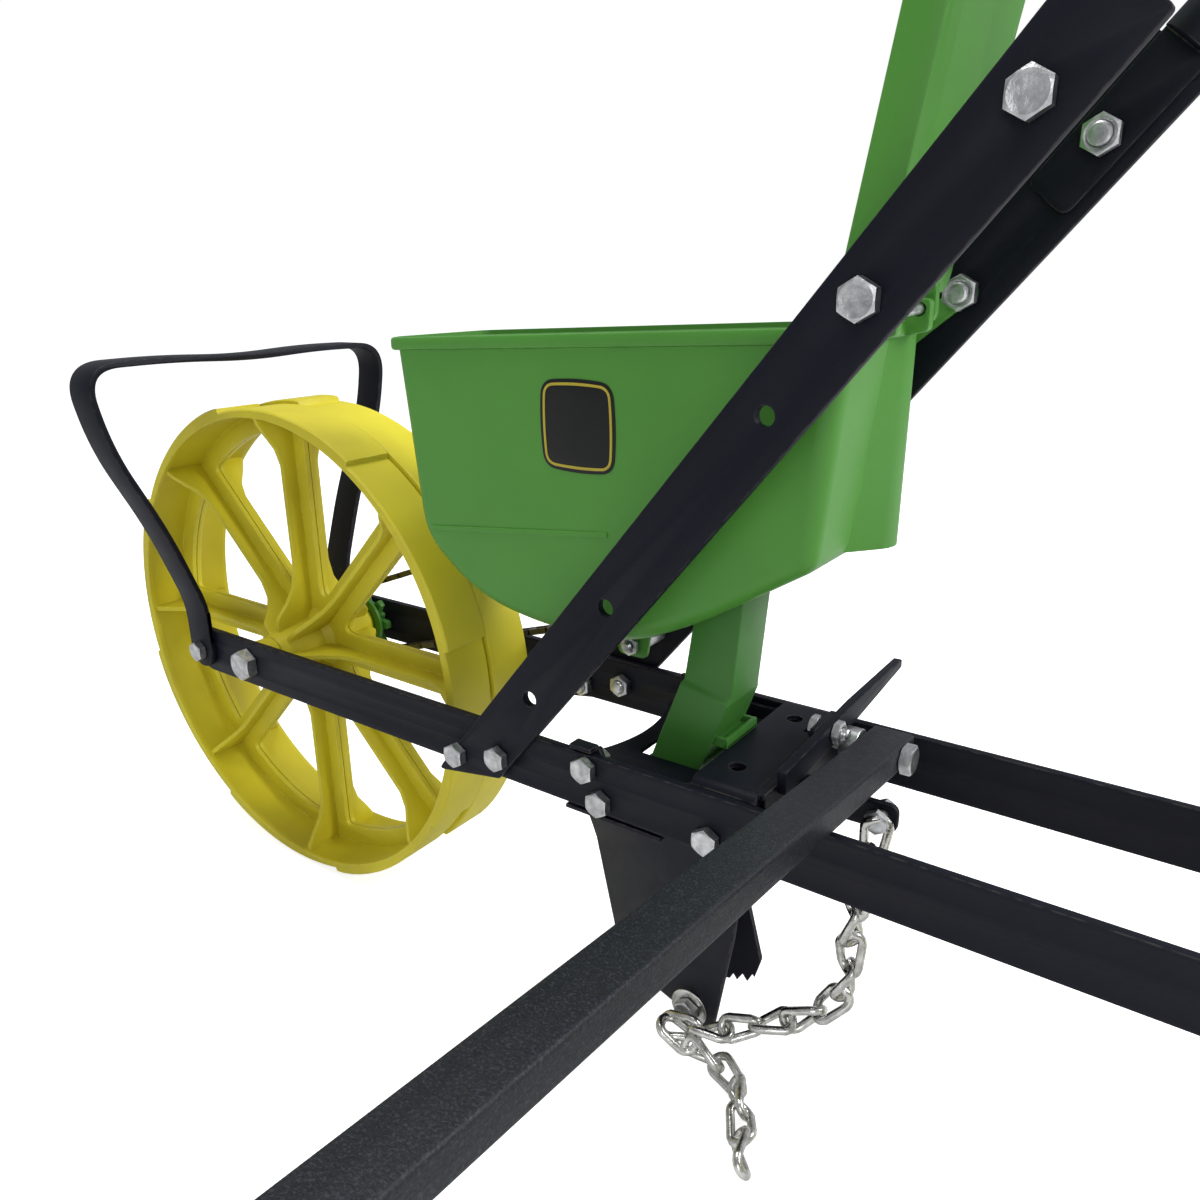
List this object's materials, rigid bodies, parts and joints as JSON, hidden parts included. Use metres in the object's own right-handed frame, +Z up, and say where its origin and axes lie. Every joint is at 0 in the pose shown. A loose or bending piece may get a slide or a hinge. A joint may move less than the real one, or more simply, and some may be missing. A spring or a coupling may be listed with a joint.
{
  "type": "corn planter",
  "caption": "Walk-behind one-row corn planter: front drive wheel, seed hopper with hinged lid, furrow opener, press wheel, row marker, drag chain and two handles.",
  "frame": {"origin": "middle of the bounding box on the ground plane, where the wheels stand", "axes": "+X the way the planter travels, +Y the operator's left, +Z up"},
  "size_m": [1.1356, 0.8544, 0.8965],
  "materials": {
    "green_enamel": "semi-gloss green enamel",
    "yellow_enamel": "semi-gloss yellow enamel",
    "black_powder_coat": "satin black powder coat",
    "zinc_plate": "bright zinc plate",
    "dark_steel": "dark oiled steel",
    "seed_plate_plastic": "matte",
    "black_rubber": "matte"
  },
  "bodies": {
    "frame": {"axle_bolt": "zinc_plate", "chain_hanger": "black_powder_coat", "chain_hanger_bolt": "zinc_plate", "chain_shoe_bolt": "zinc_plate", "drag_chain": "zinc_plate", "drag_chain_tail": "zinc_plate", "drive_chain": "dark_steel", "far_arch_bolt": "zinc_plate", "far_bracket_bolt_3": "zinc_plate", "far_ear_bolt": "zinc_plate", "far_grip": "black_rubber", "far_handle": "black_powder_coat", "far_handle_bolt_1": "zinc_plate", "far_handle_bolt_2": "zinc_plate", "far_hanger_bolt": "zinc_plate", "far_hub_spacer": "zinc_plate", "far_lap_bolt": "zinc_plate", "far_press_hanger": "black_powder_coat", "far_side_bar": "black_powder_coat", "far_upper_handle": "black_powder_coat", "handle_brace": "black_powder_coat", "hopper": "green_enamel", "lid_hinge_pin": "zinc_plate", "lug_bolt": "zinc_plate", "lug_spacer": "zinc_plate", "marker_pivot_bolt": "zinc_plate", "marker_stop_bar": "black_powder_coat", "near_arch_bolt": "zinc_plate", "near_bracket_bolt_1": "zinc_plate", "near_bracket_bolt_2": "zinc_plate", "near_bracket_bolt_3": "zinc_plate", "near_ear_bolt": "zinc_plate", "near_grip": "black_rubber", "near_handle": "black_powder_coat", "near_handle_bolt_1": "zinc_plate", "near_handle_bolt_2": "zinc_plate", "near_hanger_bolt": "zinc_plate", "near_hub_spacer": "zinc_plate", "near_lap_bolt": "zinc_plate", "near_press_hanger": "black_powder_coat", "near_side_bar": "black_powder_coat", "near_upper_handle": "black_powder_coat", "opener_bracket": "black_powder_coat", "opener_shoe": "black_powder_coat", "pivot_washer": "zinc_plate", "press_axle_bolt": "zinc_plate", "seed_chute": "green_enamel", "shoe_top_plate": "black_powder_coat", "stop_bar_bolt": "zinc_plate", "wheel_arch": "black_powder_coat"},
    "front_wheel": {"near_wheel_half": "yellow_enamel", "far_wheel_half": "yellow_enamel", "hub_sprocket": "green_enamel"},
    "seed_drive": {"plate_sprocket": "dark_steel", "seed_shaft": "zinc_plate", "seed_plate": "seed_plate_plastic"},
    "press_wheel": {"press_wheel": "yellow_enamel"},
    "lid": {"hopper_lid": "green_enamel"},
    "marker": {"marker_arm": "black_powder_coat", "marker_rod": "zinc_plate"}
  },
  "joints": [
    {"name": "wheel_spin", "type": "hinge", "parent": "frame", "child": "front_wheel", "pos_m": [0.39383, -0.29152, 0.174], "axis": [0, 1, 0], "continuous": true},
    {"name": "seed_spin", "type": "hinge", "parent": "frame", "child": "seed_drive", "pos_m": [0.09383, -0.29152, 0.27746], "axis": [0, 1, 0], "continuous": true},
    {"name": "press_spin", "type": "hinge", "parent": "frame", "child": "press_wheel", "pos_m": [-0.29617, -0.29152, 0.095], "axis": [0, 1, 0], "continuous": true},
    {"name": "lid_hinge", "type": "hinge", "parent": "frame", "child": "lid", "pos_m": [-0.02567, -0.29152, 0.4095], "axis": [0, 1, 0], "range_deg": [0, 101.5]},
    {"name": "marker_pivot", "type": "hinge", "parent": "frame", "child": "marker", "pos_m": [-0.02217, -0.32252, 0.18863], "axis": [1, 0, 0], "range_deg": [0, 45]}
  ],
  "couplings": [
    {"joint": "seed_spin", "follows": "wheel_spin", "ratio": 0.66667}
  ]
}
